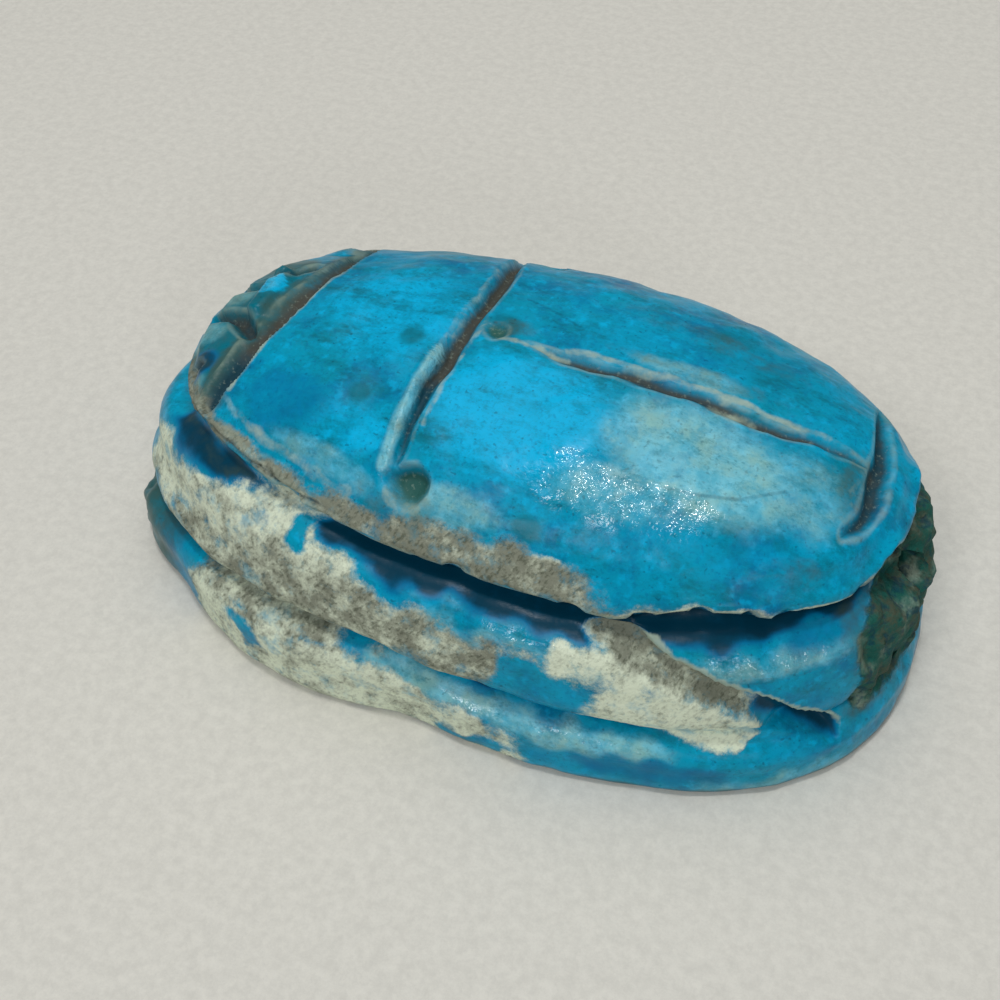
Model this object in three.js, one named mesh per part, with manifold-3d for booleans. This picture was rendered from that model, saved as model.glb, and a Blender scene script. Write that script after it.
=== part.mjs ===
import * as THREE from "three";
import { ParametricGeometry } from "three/addons/geometries/ParametricGeometry.js";
import { mergeVertices } from "three/addons/utils/BufferGeometryUtils.js";
import Module from "manifold-3d";

// A scarab amulet: a beetle on an oval base plate, carved from one lump of soft stone and glazed blue.
// It is one solid. It lies on its flat underside and is drilled from head to tail for a cord.
// Frame: origin in the middle of the underside, +X to the head, +Y to the beetle's left, +Z up. Millimetres.

// Base plate, seen from above
const LENGTH = 45;
const WIDTH = 27.3;
const OVAL_POWER = 2.36; // 2 is an ellipse, and more is squarer

// Tiers of a flank, from the underside up
const BASE_THICKNESS = 4.5;
const LEG_GROOVE_HEIGHT = 1.1;
const LEG_HEIGHT = 3.2;
const WING_GROOVE_HEIGHT = 1.5;
const RIM_HEIGHT = 2.1;
const DOME_RISE = 3.2;
const RIM_END_LIFT = 0.7; // the lower edge of the rim rises this much towards head and tail

// How far each tier stands back from the edge of the base, on the flank, at the head and at the tail
const LEG_LIP_SETBACK = { flank: 1.0, head: 0.6, tail: 0.5 };
const LEG_CREST_SETBACK = { flank: 1.6, head: 1.0, tail: 1.0 };
const RIM_FOOT_SETBACK = { flank: 2.9, head: 2.9, tail: 1.5 };
const RIM_TOP_SETBACK = { flank: 3.7, head: 4.6, tail: 2.4 };

// Rounding of the edges: the lower edge of the base, and each edge that a groove leaves
const EDGE_ROUND = 0.6;
const EDGE_WEAR = 0.15;

// Places on a flank are degrees round the oval from the head, the same on both flanks.
const CHEEK = 45;
const SHOULDER = 72;
const GROOVE_FADE = 16; // a groove comes and goes over this many degrees

// The groove between base and legs runs round the head and dies out on the hind part of each flank.
const LEG_GROOVE_DEPTH = 1.5;
const LEG_GROOVE_END = 126;
const LEG_GROOVE_SINK = 1.2; // it also sinks this much on its way back

// The groove under the wing cases is a shallow line beside the head, and deepest from the shoulder back.
const WING_GROOVE_DEPTH = { head: 0.8, cheek: 0.25, flank: 1.5 };

// The floor of either groove, as shares of the groove's height
const FLOOR_LOW = 0.4;
const FLOOR_HIGH = 0.8;

// A graver's stroke on the back. Ends are shares of the half length and half width of the base.
const NECK_LINE = { from: [0.5, -0.52], to: [0.63, 0.52], width: 1.9, depth: 1.0 };
const PROTHORAX_LINE = { from: [0.12, -0.66], to: [0.12, 0.61], width: 1.05, depth: 0.75 };
const WING_SUTURE = { from: [-0.03, 0], to: [-0.8, 0], width: 0.95, depth: 0.6 };
const TAIL_LINE = { from: [-0.83, -0.34], to: [-0.83, 0.3], width: 1.3, depth: 0.7 };
const BROW_LINE = { from: [0.62, 0.19], to: [0.79, 0.04], width: 1.0, depth: 0.55 };
const SHOULDER_PIT = { at: [0.07, 0.65], radius: 1.3, depth: 0.8 };
const SUTURE_PIT = { at: [0.05, -0.03], radius: 1.1, depth: 0.5 };
const HEAD_DROP = 0.4; // the top of the head lies this much lower than the prothorax

// The stroke that parts hind leg from middle leg falls from the wing groove to the base, and steepens.
const HIND_LEG_STROKE = { start: 112, end: 153, steepening: 1.5, width: 1.7, depth: 1.1 };

// Cord hole, in the middle of the leg tier, with a worn hollow above its mouth at the tail
const BORE_RADIUS = 1.2;
const TAIL_HOLLOW = { length: 2.2, width: 6.4, height: 3.2, lift: 1.8 };

// Fineness of the faceted surfaces
const STEPS_AROUND = 96;
const DOME_RINGS = 8;
const STROKE_STEPS = 20;
const STROKE_SIDES = 8;
const ROUND_SIDES = 20;
const MERGE_DISTANCE = 1e-4;
const SLOPE_STEP = 0.05; // a slope is measured over this length
const PATH_STEP = 0.01; // and a path's direction over this share of it

const HALF_LENGTH = LENGTH / 2;
const HALF_WIDTH = WIDTH / 2;
const LEG_LIP_Z = BASE_THICKNESS + LEG_GROOVE_HEIGHT;
const LEG_CREST_Z = LEG_LIP_Z + LEG_HEIGHT;
const RIM_FOOT_Z = LEG_CREST_Z + WING_GROOVE_HEIGHT;
const RIM_TOP_Z = RIM_FOOT_Z + RIM_HEIGHT;
const BORE_Z = (LEG_LIP_Z + LEG_CREST_Z) / 2;
const NO_SETBACK = { flank: 0, head: 0, tail: 0 };
const EDGE_SETBACK = { flank: EDGE_ROUND, head: EDGE_ROUND, tail: EDGE_ROUND };

const wasm = await Module();
wasm.setup();

const { clamp, degToRad, lerp, radToDeg, smoothstep } = THREE.MathUtils;

const fromHead = (angle) => radToDeg(Math.acos(Math.cos(angle)));

// Semi-axes and middle of the oval that stands back from the base by a setback, and by a further cut all round
function oval(setback, cut = 0) {
  return {
    a: HALF_LENGTH - (setback.head + setback.tail) / 2 - cut,
    b: HALF_WIDTH - setback.flank - cut,
    x: (setback.tail - setback.head) / 2,
  };
}

// Point of a superellipse: the radius that solves |x/a|^n + |y/b|^n = 1 in the direction of the angle
function ovalPoint({ a, b, x }, angle, share = 1) {
  const c = Math.cos(angle);
  const s = Math.sin(angle);
  const r = share * (Math.abs(c) ** OVAL_POWER + Math.abs(s) ** OVAL_POWER) ** (-1 / OVAL_POWER);
  return [x + a * r * c, b * r * s];
}

function legGrooveDepth(angle) {
  return LEG_GROOVE_DEPTH * (1 - smoothstep(fromHead(angle), LEG_GROOVE_END - GROOVE_FADE, LEG_GROOVE_END));
}

function wingGrooveDepth(angle) {
  const place = fromHead(angle);
  const besideHead = smoothstep(place, 0, CHEEK);
  const behindShoulder = smoothstep(place, SHOULDER - GROOVE_FADE / 2, SHOULDER + GROOVE_FADE / 2);
  const frontDepth = lerp(WING_GROOVE_DEPTH.head, WING_GROOVE_DEPTH.cheek, besideHead);
  return lerp(frontDepth, WING_GROOVE_DEPTH.flank, behindShoulder);
}

// Outline of the beetle at one angle: rings from the middle of the underside to the middle of the back.
// Each is an oval, a share of it that is under 1 only inside the underside and over the dome, and a height.
function profile(angle) {
  const baseTop = BASE_THICKNESS - LEG_GROOVE_SINK * smoothstep(fromHead(angle), SHOULDER, LEG_GROOVE_END);
  const legLip = baseTop + LEG_GROOVE_HEIGHT;
  const rimFoot = RIM_FOOT_Z + RIM_END_LIFT * Math.cos(angle) ** 2;
  const legCut = legGrooveDepth(angle);
  const wingCut = wingGrooveDepth(angle);
  const ring = (setback, z, cut = 0) => ({ ...oval(setback, cut), z, share: 1 });
  const rings = [
    { ...ring(EDGE_SETBACK, 0), share: 0 },
    ring(EDGE_SETBACK, 0),
    ring(NO_SETBACK, EDGE_ROUND, EDGE_WEAR),
    ring(NO_SETBACK, 2 * EDGE_ROUND),
    ring(NO_SETBACK, baseTop - EDGE_ROUND),
    ring(NO_SETBACK, baseTop, 2 * EDGE_WEAR),
    ring(LEG_LIP_SETBACK, baseTop + FLOOR_LOW * LEG_GROOVE_HEIGHT, legCut),
    ring(LEG_LIP_SETBACK, baseTop + FLOOR_HIGH * LEG_GROOVE_HEIGHT, legCut),
    ring(LEG_LIP_SETBACK, legLip, EDGE_WEAR),
    ring(LEG_LIP_SETBACK, legLip + EDGE_ROUND),
    ring(LEG_CREST_SETBACK, (legLip + LEG_CREST_Z) / 2, -2 * EDGE_WEAR),
    ring(LEG_CREST_SETBACK, LEG_CREST_Z - EDGE_ROUND),
    ring(LEG_CREST_SETBACK, LEG_CREST_Z, EDGE_WEAR),
    ring(RIM_FOOT_SETBACK, lerp(LEG_CREST_Z, rimFoot, FLOOR_LOW), FLOOR_LOW * wingCut),
    ring(RIM_FOOT_SETBACK, lerp(LEG_CREST_Z, rimFoot, FLOOR_HIGH), wingCut),
    ring(RIM_FOOT_SETBACK, rimFoot, EDGE_WEAR),
    ring(RIM_FOOT_SETBACK, rimFoot + 2 * EDGE_WEAR),
    ring(RIM_TOP_SETBACK, RIM_TOP_Z),
  ];
  for (let k = 1; k <= DOME_RINGS; k++) {
    const share = Math.cos(((k / DOME_RINGS) * Math.PI) / 2);
    rings.push({ ...ring(RIM_TOP_SETBACK, RIM_TOP_Z), share, onDome: true });
  }
  return rings;
}

// How far a point of the back lies beyond the neck line, towards the front of the head
function beyondNeck(x, y) {
  const { from, to } = NECK_LINE;
  const across = (y / HALF_WIDTH - from[1]) / (to[1] - from[1]);
  return x - lerp(from[0], to[0], across) * HALF_LENGTH;
}

// Height of the dome over a point of the plan: an ellipse over the oval, and the rim's height outside it
function domeHeight(x, y) {
  const top = oval(RIM_TOP_SETBACK);
  const reach = Math.abs((x - top.x) / top.a) ** OVAL_POWER + Math.abs(y / top.b) ** OVAL_POWER;
  const climb = Math.sqrt(Math.max(0, 1 - reach ** (2 / OVAL_POWER)));
  const drop = HEAD_DROP * smoothstep(beyondNeck(x, y), 0, NECK_LINE.width / 2);
  return RIM_TOP_Z + (DOME_RISE - drop) * climb;
}

function domeNormal(point) {
  const slopeX = domeHeight(point.x + SLOPE_STEP, point.y) - domeHeight(point.x - SLOPE_STEP, point.y);
  const slopeY = domeHeight(point.x, point.y + SLOPE_STEP) - domeHeight(point.x, point.y - SLOPE_STEP);
  return new THREE.Vector3(-slopeX, -slopeY, 2 * SLOPE_STEP).normalize();
}

// Point of a flank between the two grooves, from degrees round the oval and a height
function flankPoint(degrees, z) {
  const share = clamp((z - LEG_LIP_Z) / (RIM_FOOT_Z - LEG_LIP_Z), 0, 1);
  const part = (side) => lerp(LEG_LIP_SETBACK[side], RIM_FOOT_SETBACK[side], share);
  const setback = { flank: part("flank"), head: part("head"), tail: part("tail") };
  const [x, y] = ovalPoint(oval(setback), degToRad(degrees));
  return new THREE.Vector3(x, y, z);
}

// The way out of a flank: square to the oval in the plan, and tilted up as the flank is
function flankNormal(point) {
  const normal = new THREE.Vector3(point.x / HALF_LENGTH ** 2, point.y / HALF_WIDTH ** 2, 0).normalize();
  normal.z = (RIM_FOOT_SETBACK.flank - LEG_LIP_SETBACK.flank) / (RIM_FOOT_Z - LEG_LIP_Z);
  return normal.normalize();
}

// A closed solid from a three.js geometry
function solidOf(geometry) {
  geometry.deleteAttribute("normal");
  geometry.deleteAttribute("uv");
  const merged = mergeVertices(geometry, MERGE_DISTANCE);
  const corners = merged.index.array;
  const faces = [];
  for (let i = 0; i < corners.length; i += 3) {
    const [p, q, r] = corners.slice(i, i + 3);
    if (p !== q && q !== r && r !== p) faces.push(p, q, r);
  }
  const vertProperties = merged.attributes.position.array;
  return new wasm.Manifold(new wasm.Mesh({ numProp: 3, vertProperties, triVerts: new Uint32Array(faces) }));
}

function beetleOnBase() {
  const stacks = profile(0).length - 1;
  const surface = (u, v, target) => {
    const angle = u * Math.PI * 2;
    const ring = profile(angle)[Math.round(v * stacks)];
    const [x, y] = ovalPoint(ring, angle, ring.share);
    target.set(x, y, ring.onDome ? domeHeight(x, y) : ring.z);
  };
  return solidOf(new ParametricGeometry(surface, STEPS_AROUND, stacks));
}

// The stone that one stroke takes out: a long spindle with blunt ends, half sunk in the surface.
// path(t) gives a point on the surface and outward(point) the way out of the stone.
function stroke(path, outward, width, depth) {
  const along = new THREE.Vector3();
  const side = new THREE.Vector3();
  const surface = (u, v, target) => {
    const middle = path(v);
    along.subVectors(path(Math.min(1, v + PATH_STEP)), path(Math.max(0, v - PATH_STEP))).normalize();
    const out = outward(middle);
    side.crossVectors(along, out).normalize();
    const swell = Math.sqrt(1 - (2 * v - 1) ** 4);
    const turn = u * Math.PI * 2;
    target.copy(middle);
    target.addScaledVector(side, (Math.cos(turn) * swell * width) / 2);
    target.addScaledVector(out, -Math.sin(turn) * swell * depth);
  };
  return solidOf(new ParametricGeometry(surface, STROKE_SIDES, STROKE_STEPS));
}

function backStroke({ from, to, width, depth }) {
  const path = (t) => {
    const x = lerp(from[0], to[0], t) * HALF_LENGTH;
    const y = lerp(from[1], to[1], t) * HALF_WIDTH;
    return new THREE.Vector3(x, y, domeHeight(x, y));
  };
  return stroke(path, domeNormal, width, depth);
}

// The same stroke on the beetle's other side
function mirrored(line) {
  const flip = ([x, y]) => [x, -y];
  return { ...line, from: flip(line.to), to: flip(line.from) };
}

function pit({ at, radius, depth }, side = 1) {
  const x = at[0] * HALF_LENGTH;
  const y = at[1] * HALF_WIDTH * side;
  const ball = new THREE.SphereGeometry(radius, ROUND_SIDES, ROUND_SIDES / 2);
  const middle = new THREE.Vector3(x, y, domeHeight(x, y));
  middle.addScaledVector(domeNormal(middle), radius - depth);
  return solidOf(ball.translate(middle.x, middle.y, middle.z));
}

function hindLegStroke(side) {
  const { start, end, steepening, width, depth } = HIND_LEG_STROKE;
  const top = lerp(LEG_CREST_Z, RIM_FOOT_Z, FLOOR_HIGH);
  const path = (t) => {
    const point = flankPoint(lerp(start, end, t), lerp(top, BASE_THICKNESS / 2, t ** steepening));
    point.y *= side;
    return point;
  };
  return stroke(path, flankNormal, width, depth);
}

// Twice as long as the stone, so that it comes out at both ends
function cordBore() {
  const rod = new THREE.CylinderGeometry(BORE_RADIUS, BORE_RADIUS, 2 * LENGTH, ROUND_SIDES);
  return solidOf(rod.rotateZ(Math.PI / 2).translate(0, 0, BORE_Z));
}

function tailHollow() {
  const { length, width, height, lift } = TAIL_HOLLOW;
  const ball = new THREE.SphereGeometry(1, ROUND_SIDES, ROUND_SIDES / 2).scale(length, width / 2, height / 2);
  return solidOf(ball.translate(RIM_FOOT_SETBACK.tail - HALF_LENGTH, 0, BORE_Z + lift));
}

function carvedScarab() {
  const lines = [NECK_LINE, PROTHORAX_LINE, WING_SUTURE, TAIL_LINE, BROW_LINE, mirrored(BROW_LINE)];
  const cuts = [
    ...lines.map(backStroke),
    pit(SHOULDER_PIT),
    pit(SHOULDER_PIT, -1),
    pit(SUTURE_PIT),
    hindLegStroke(1),
    hindLegStroke(-1),
    tailHollow(),
    cordBore(),
  ];
  return cuts.reduce((stone, cut) => stone.subtract(cut), beetleOnBase());
}

function meshOf(solid, name, material) {
  const { vertProperties, triVerts } = solid.getMesh();
  const geometry = new THREE.BufferGeometry();
  geometry.setAttribute("position", new THREE.BufferAttribute(vertProperties, 3));
  geometry.setIndex(new THREE.BufferAttribute(triVerts, 1));
  geometry.computeVertexNormals();
  const mesh = new THREE.Mesh(geometry, material);
  mesh.name = name;
  return mesh;
}

const glazedStone = new THREE.MeshStandardMaterial({ color: 0x1c8fb4, roughness: 0.3, metalness: 0 });

const scarab = new THREE.Group();
scarab.add(meshOf(carvedScarab(), "scarab", glazedStone));

export default scarab;
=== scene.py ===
"""A scarab amulet of soft stone under a worn turquoise glaze, dressed for a still picture.

The carved surface is worked out with numpy in millimetres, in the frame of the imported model, and is
brought to metres when it goes into its mesh. Places on a flank are degrees round the oval from the head,
and places on the back are x towards the head and y towards the beetle's left flank.
"""

import math
from functools import partial

import bpy
import numpy as np
from bpy.props import FloatProperty, FloatVectorProperty, PointerProperty
from mathutils import Matrix, Vector


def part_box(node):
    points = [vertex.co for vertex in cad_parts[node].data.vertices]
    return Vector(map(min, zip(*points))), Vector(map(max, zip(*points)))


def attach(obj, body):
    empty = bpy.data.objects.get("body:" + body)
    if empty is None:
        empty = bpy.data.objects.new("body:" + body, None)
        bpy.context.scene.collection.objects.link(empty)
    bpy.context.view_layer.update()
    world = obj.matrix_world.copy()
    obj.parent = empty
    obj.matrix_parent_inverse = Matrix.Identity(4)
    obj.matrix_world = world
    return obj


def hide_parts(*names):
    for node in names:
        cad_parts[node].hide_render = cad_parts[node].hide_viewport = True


bl_info = {
    "name": "Scarab amulet",
    "version": (1, 0, 0),
    "blender": (4, 5, 0),
    "location": "3D View > Sidebar > Scarab",
    "description": "Carves and glazes a scarab amulet on the frame of its packed model",
    "category": "Add Mesh",
}

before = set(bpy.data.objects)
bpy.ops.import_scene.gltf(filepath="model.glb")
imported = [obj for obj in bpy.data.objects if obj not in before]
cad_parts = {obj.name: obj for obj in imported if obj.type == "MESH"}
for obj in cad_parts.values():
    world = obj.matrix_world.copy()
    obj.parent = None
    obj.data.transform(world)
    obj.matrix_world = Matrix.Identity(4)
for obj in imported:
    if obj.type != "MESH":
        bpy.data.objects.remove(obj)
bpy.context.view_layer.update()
LOW, HIGH = (np.array(corner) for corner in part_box("scarab"))
MM = 1000.0  # millimetres in a metre
LENGTH, WIDTH, HEIGHT = (HIGH - LOW) * MM

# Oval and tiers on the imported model. A setback is how far a tier stands back on flank, at head and at tail.
OVAL_POWER = 2.36
HALF_LENGTH = LENGTH / 2
HALF_WIDTH = WIDTH / 2
NO_SETBACK = (0, 0, 0)
EDGE_SETBACK = (0.4, 0.4, 0.4)
LIP_SETBACK = (1.0, 1.7, 0.5)
CREST_SETBACK = (1.6, 3.1, 0.9)
FOOT_SETBACK = (2.9, 4.2, 1.7)
DOME_SETBACK = (3.5, 4.1, 1.7)
RIM_TOP_Z = 12.4
DOME_FOOT_Z = 11.0
CAP_SHARE = 0.955  # the cap ends where it reaches this share of the dome's oval
BORE_Z = 7.2
BORE_RADIUS = 1.2

# Fineness of the surface
CAP_CELLS = 180
COLUMNS = 4 * CAP_CELLS
ROW_STEP = 0.26
BORE_SIDES = 48
CAP_EVEN = 0.45  # how even the rings of the cap are: the rest of them crowd towards its edge
CAP_TIERS = 12  # the tiers go on over the back, up to this many in its middle

# Rows of the profile, from the underside up to the edge of the back. A tier is a place in this list.
ROWS = [
    "under_edge", "under_round", "base_foot", "base_side", "base_shoulder", "base_lip", "ledge",
    "leg_groove_floor", "leg_groove_roof", "leg_lip", "leg_foot", "leg_belly", "leg_shoulder", "crest",
    "slope", "wing_groove_floor", "wing_groove_roof", "rim_foot", "rim_low", "rim_middle", "rim_top",
]
TIER = {name: number for number, name in enumerate(ROWS)}
BACK_TIER = TIER["rim_top"]

# The lower edge of the rim as it was cut: degrees from the head, and height
RIM_FOOT_LINE = [
    (0, 11.0), (15, 10.6), (28, 10.4), (36, 11.2), (42, 11.7), (51, 11.7), (60, 11.35), (66, 11.0),
    (72, 10.7), (85, 10.5), (104, 10.2), (114, 9.98), (119.5, 10.4), (124, 11.1), (127, 11.05), (132, 10.9),
    (137, 10.3), (141.5, 10.65), (151, 10.45), (157, 10.4), (162, 11.0), (167, 11.5), (174, 11.05),
    (180, 11.1),
]
# The upper and the lower edge of the legs, and the upper edge of the base, in the same way
CREST_LINE = [
    (0, 9.1), (18, 9.5), (30, 9.9), (46, 9.8), (60, 9.3), (81, 8.85), (100, 8.55), (116, 8.3), (126, 8.1),
    (140, 8.15), (152, 8.6), (165, 9.2), (180, 9.4),
]
LEG_LIP_LINE = [
    (0, 4.5), (30, 4.4), (53, 4.35), (61, 4.7), (69, 5.0), (76, 5.1), (83, 5.0), (90, 4.65), (97, 4.45),
    (102, 4.4), (111, 4.2), (117, 3.95), (126, 3.8), (180, 4.0),
]
BASE_TOP_LINE = [
    (0, 3.3), (30, 3.4), (45, 3.6), (60, 3.9), (70, 4.2), (76, 4.2), (83, 4.1), (89, 3.6), (95, 3.2),
    (102, 3.1), (117, 3.1), (125, 3.0), (136, 2.8), (150, 2.7), (180, 3.0),
]
# How far the base stands out or is broken back: degrees from the head, and a factor
BASE_OUTLINE = [
    (0, 1.0), (10, 0.99), (18, 0.975), (25, 0.975), (29, 1.005), (36, 1.0), (43, 0.973), (48, 0.975),
    (53.5, 0.99), (64, 1.02), (75, 1.02), (80, 0.995), (86, 0.962), (90, 0.962), (98, 0.98), (115, 1.002),
    (130, 1.02), (150, 1.015), (180, 1.0),
]
# Depth of the groove under the wing cases and of the groove between base and legs
WING_GROOVE_DEPTH = [(0, 0.6), (20, 0.5), (36, 0.3), (60, 0.3), (76, 1.4), (150, 1.5), (180, 0.9)]
LEG_GROOVE_DEPTH = [(0, 1.0), (40, 1.0), (60, 1.3), (112, 1.3), (127, 0.0), (180, 0.0)]
# The legs' head end stands out on the near flank: its place and half width in degrees, and millimetres
LEG_END, LEG_END_HALF, LEG_END_BULGE = 23, 14, 0.45
# The far flank's edges sway, so that it is no plain mirror of the near one: millimetres and number of waves
SWAY, SWAY_WAVES = 0.35, 5
FAR_AWAY = 3.0  # millimetres from an edge or a stroke past which nothing is felt of it


def smooth(x, low, high):
    """Smoothstep: 0 below low, 1 above high, and 3t^2 - 2t^3 between them."""
    t = np.clip((x - low) / (high - low), 0, 1)
    return t * t * (3 - 2 * t)


def cut_line(places, line, blur=1.6):
    """A measured line over the degrees, rounded by averaging it at five places close together."""
    at, value = np.array(line, float).T
    offsets = np.linspace(-blur, blur, 5)
    return np.mean([np.interp(np.clip(places + shift, 0, 180), at, value) for shift in offsets], axis=0)


def oval(setback):
    """Half axes and middle of the oval that stands back from the base."""
    flank, head, tail = setback
    return HALF_LENGTH - (head + tail) / 2, HALF_WIDTH - flank, (tail - head) / 2


def oval_reach(angle):
    """Superellipse: the radius that solves |cos|^n + |sin|^n = 1 in the direction of the angle."""
    return (np.abs(np.cos(angle)) ** OVAL_POWER + np.abs(np.sin(angle)) ** OVAL_POWER) ** (-1 / OVAL_POWER)


def waves(points, length, seed, count=28):
    """Smooth noise about -1 to 1: a sum of plane waves of about that length in random directions."""
    rng = np.random.default_rng(seed)
    ways = rng.normal(size=(3, count))
    ways *= 2 * np.pi * rng.uniform(0.6, 1.6, count) / (length * np.linalg.norm(ways, axis=0))
    return np.sqrt(2 / count) * np.cos(points @ ways + rng.uniform(0, 2 * np.pi, count)).sum(axis=1)


# Back of the beetle

NECK = [
    (11.2, -10.5), (11.7, -8.0), (12.3, -3.2), (12.75, -0.9), (13.0, 1.4), (13.5, 3.6), (14.1, 6.0),
    (14.5, 7.4),
]
HEAD_DROP, FAR_HEAD_DROP = 0.45, 0.5  # how much lower the head lies, and how much more on its far side


def beyond_neck(x, y):
    """How far a point of the back lies beyond the neck line, towards the front of the head."""
    at, across = np.array(NECK, float).T
    return x - np.interp(y, across, at)


def dome_height(x, y):
    """An ellipse over the oval of the rim, lower on the head and a little fuller over the wing cases."""
    a, b, middle = oval(DOME_SETBACK)
    reach = np.abs((x - middle) / a) ** OVAL_POWER + np.abs(y / b) ** OVAL_POWER
    climb = np.sqrt(np.clip(1 - reach ** (2 / OVAL_POWER), 0, 1))
    drop = (HEAD_DROP + FAR_HEAD_DROP * smooth(-y, 4, 8)) * smooth(beyond_neck(x, y), 0, 1.0)
    return DOME_FOOT_Z + (HEIGHT - DOME_FOOT_Z - drop) * climb


def profile_rows(angle):
    """Points of every row at every angle, in an array of rows by columns by 3.

    A row is an oval at a setback, cut in further by a depth and laid at a height, which all depend on the
    degrees from the head.
    """
    place = np.degrees(np.arccos(np.cos(angle)))
    near = np.sin(angle) >= 0
    sway = np.where(near, 0.0, SWAY * np.sin(np.radians(SWAY_WAVES * place)))
    base_top = cut_line(place, BASE_TOP_LINE) + 0.5 * sway
    leg_lip = cut_line(place, LEG_LIP_LINE) + 0.5 * sway
    crest = cut_line(place, CREST_LINE)
    rim_foot = cut_line(place, RIM_FOOT_LINE, 1.0) + 0.4 * sway
    legs = cut_line(place, LEG_GROOVE_DEPTH)
    wings = cut_line(place, WING_GROOVE_DEPTH, 4)
    belly = (leg_lip + crest) / 2
    cheek = np.where(near, LEG_END_BULGE * np.exp(-(((place - LEG_END) / LEG_END_HALF) ** 2)), 0)
    rows = {
        "under_edge": (EDGE_SETBACK, 0, 0),
        "under_round": (NO_SETBACK, 0.12, 0.12),
        "base_foot": (NO_SETBACK, 0.0, 0.45),
        "base_side": (NO_SETBACK, 0.02, 1.5),
        "base_shoulder": (NO_SETBACK, 0.1, base_top - 0.5),
        "base_lip": (NO_SETBACK, 0.42, base_top),
        "ledge": (LIP_SETBACK, 0.1 + 0.3 * legs, 0.5 * base_top + 0.5 * leg_lip - 0.02),
        "leg_groove_floor": (LIP_SETBACK, 0.1 + legs, 0.25 * base_top + 0.75 * leg_lip - 0.05),
        "leg_groove_roof": (LIP_SETBACK, 0.1 + 0.9 * legs - 0.5 * cheek, leg_lip - 0.08),
        "leg_lip": (LIP_SETBACK, 0.2 - cheek, leg_lip),
        "leg_foot": (LIP_SETBACK, -0.05 - cheek, leg_lip + 0.35),
        "leg_belly": (CREST_SETBACK, -0.55 - cheek, belly),
        "leg_shoulder": (CREST_SETBACK, -0.2 - 0.7 * cheek, crest - 0.7),
        "crest": (CREST_SETBACK, 0.2 - 0.3 * cheek, crest),
        "slope": (CREST_SETBACK, 0.9 + 0.15 * wings, crest + 0.4 * (rim_foot - crest)),
        "wing_groove_floor": (FOOT_SETBACK, 0.8 * wings, crest + 0.6 * (rim_foot - crest)),
        "wing_groove_roof": (FOOT_SETBACK, wings, crest + 0.86 * (rim_foot - crest)),
        "rim_foot": (FOOT_SETBACK, 0.12, rim_foot),
        "rim_low": (FOOT_SETBACK, 0.06, rim_foot + 0.3),
        "rim_middle": (FOOT_SETBACK, 0.5, (rim_foot + RIM_TOP_Z) / 2 + 0.1),
        "rim_top": (DOME_SETBACK, 0, RIM_TOP_Z),
    }
    outline = cut_line(place, BASE_OUTLINE)
    outline = np.where(near, outline, 1 + 0.5 * (outline - 1))
    shift = np.zeros((len(ROWS), len(angle), 3))
    for number, name in enumerate(ROWS):
        setback, cut, height = rows[name]
        a, b, middle = oval(setback)
        swell = 1 + (outline - 1) * (1 - smooth(number, TIER["base_lip"], TIER["leg_foot"]))
        shift[number, :, 0] = middle + (a - cut) * oval_reach(angle) * np.cos(angle) * swell
        shift[number, :, 1] = (b - cut) * oval_reach(angle) * np.sin(angle) * swell
        shift[number, :, 2] = height
    return shift


def through_rows(rows):
    """A smooth curve up every column, as Hermite cubics whose slopes weigh the chords on either side.

    Gives the points, their tiers and their length along the column.
    """
    chord = np.linalg.norm(np.diff(rows, axis=0), axis=2, keepdims=True)
    way = np.diff(rows, axis=0) / chord
    slope = np.empty_like(rows)
    slope[1:-1] = (way[:-1] * chord[1:] + way[1:] * chord[:-1]) / (chord[1:] + chord[:-1])
    slope[0], slope[-1] = way[0], way[-1]
    points, tiers = [], []
    for k in range(len(rows) - 1):
        steps = max(2, round(float(chord[k].mean()) / ROW_STEP))
        t = (np.arange(steps) / steps)[:, None, None]
        h00, h10 = 2 * t**3 - 3 * t**2 + 1, t**3 - 2 * t**2 + t
        h01, h11 = 3 * t**2 - 2 * t**3, t**3 - t**2
        points.append(
            h00 * rows[k] + h10 * chord[k] * slope[k] + h01 * rows[k + 1] + h11 * chord[k] * slope[k + 1]
        )
        tiers.append(k + t[:, 0, 0])
    points = np.concatenate(points + [rows[-1:]])
    tiers = np.concatenate(tiers + [[BACK_TIER]])
    length = np.zeros(points.shape[:2])
    length[1:] = np.cumsum(np.linalg.norm(np.diff(points, axis=0), axis=2), axis=0)
    return points, tiers, length


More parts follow.
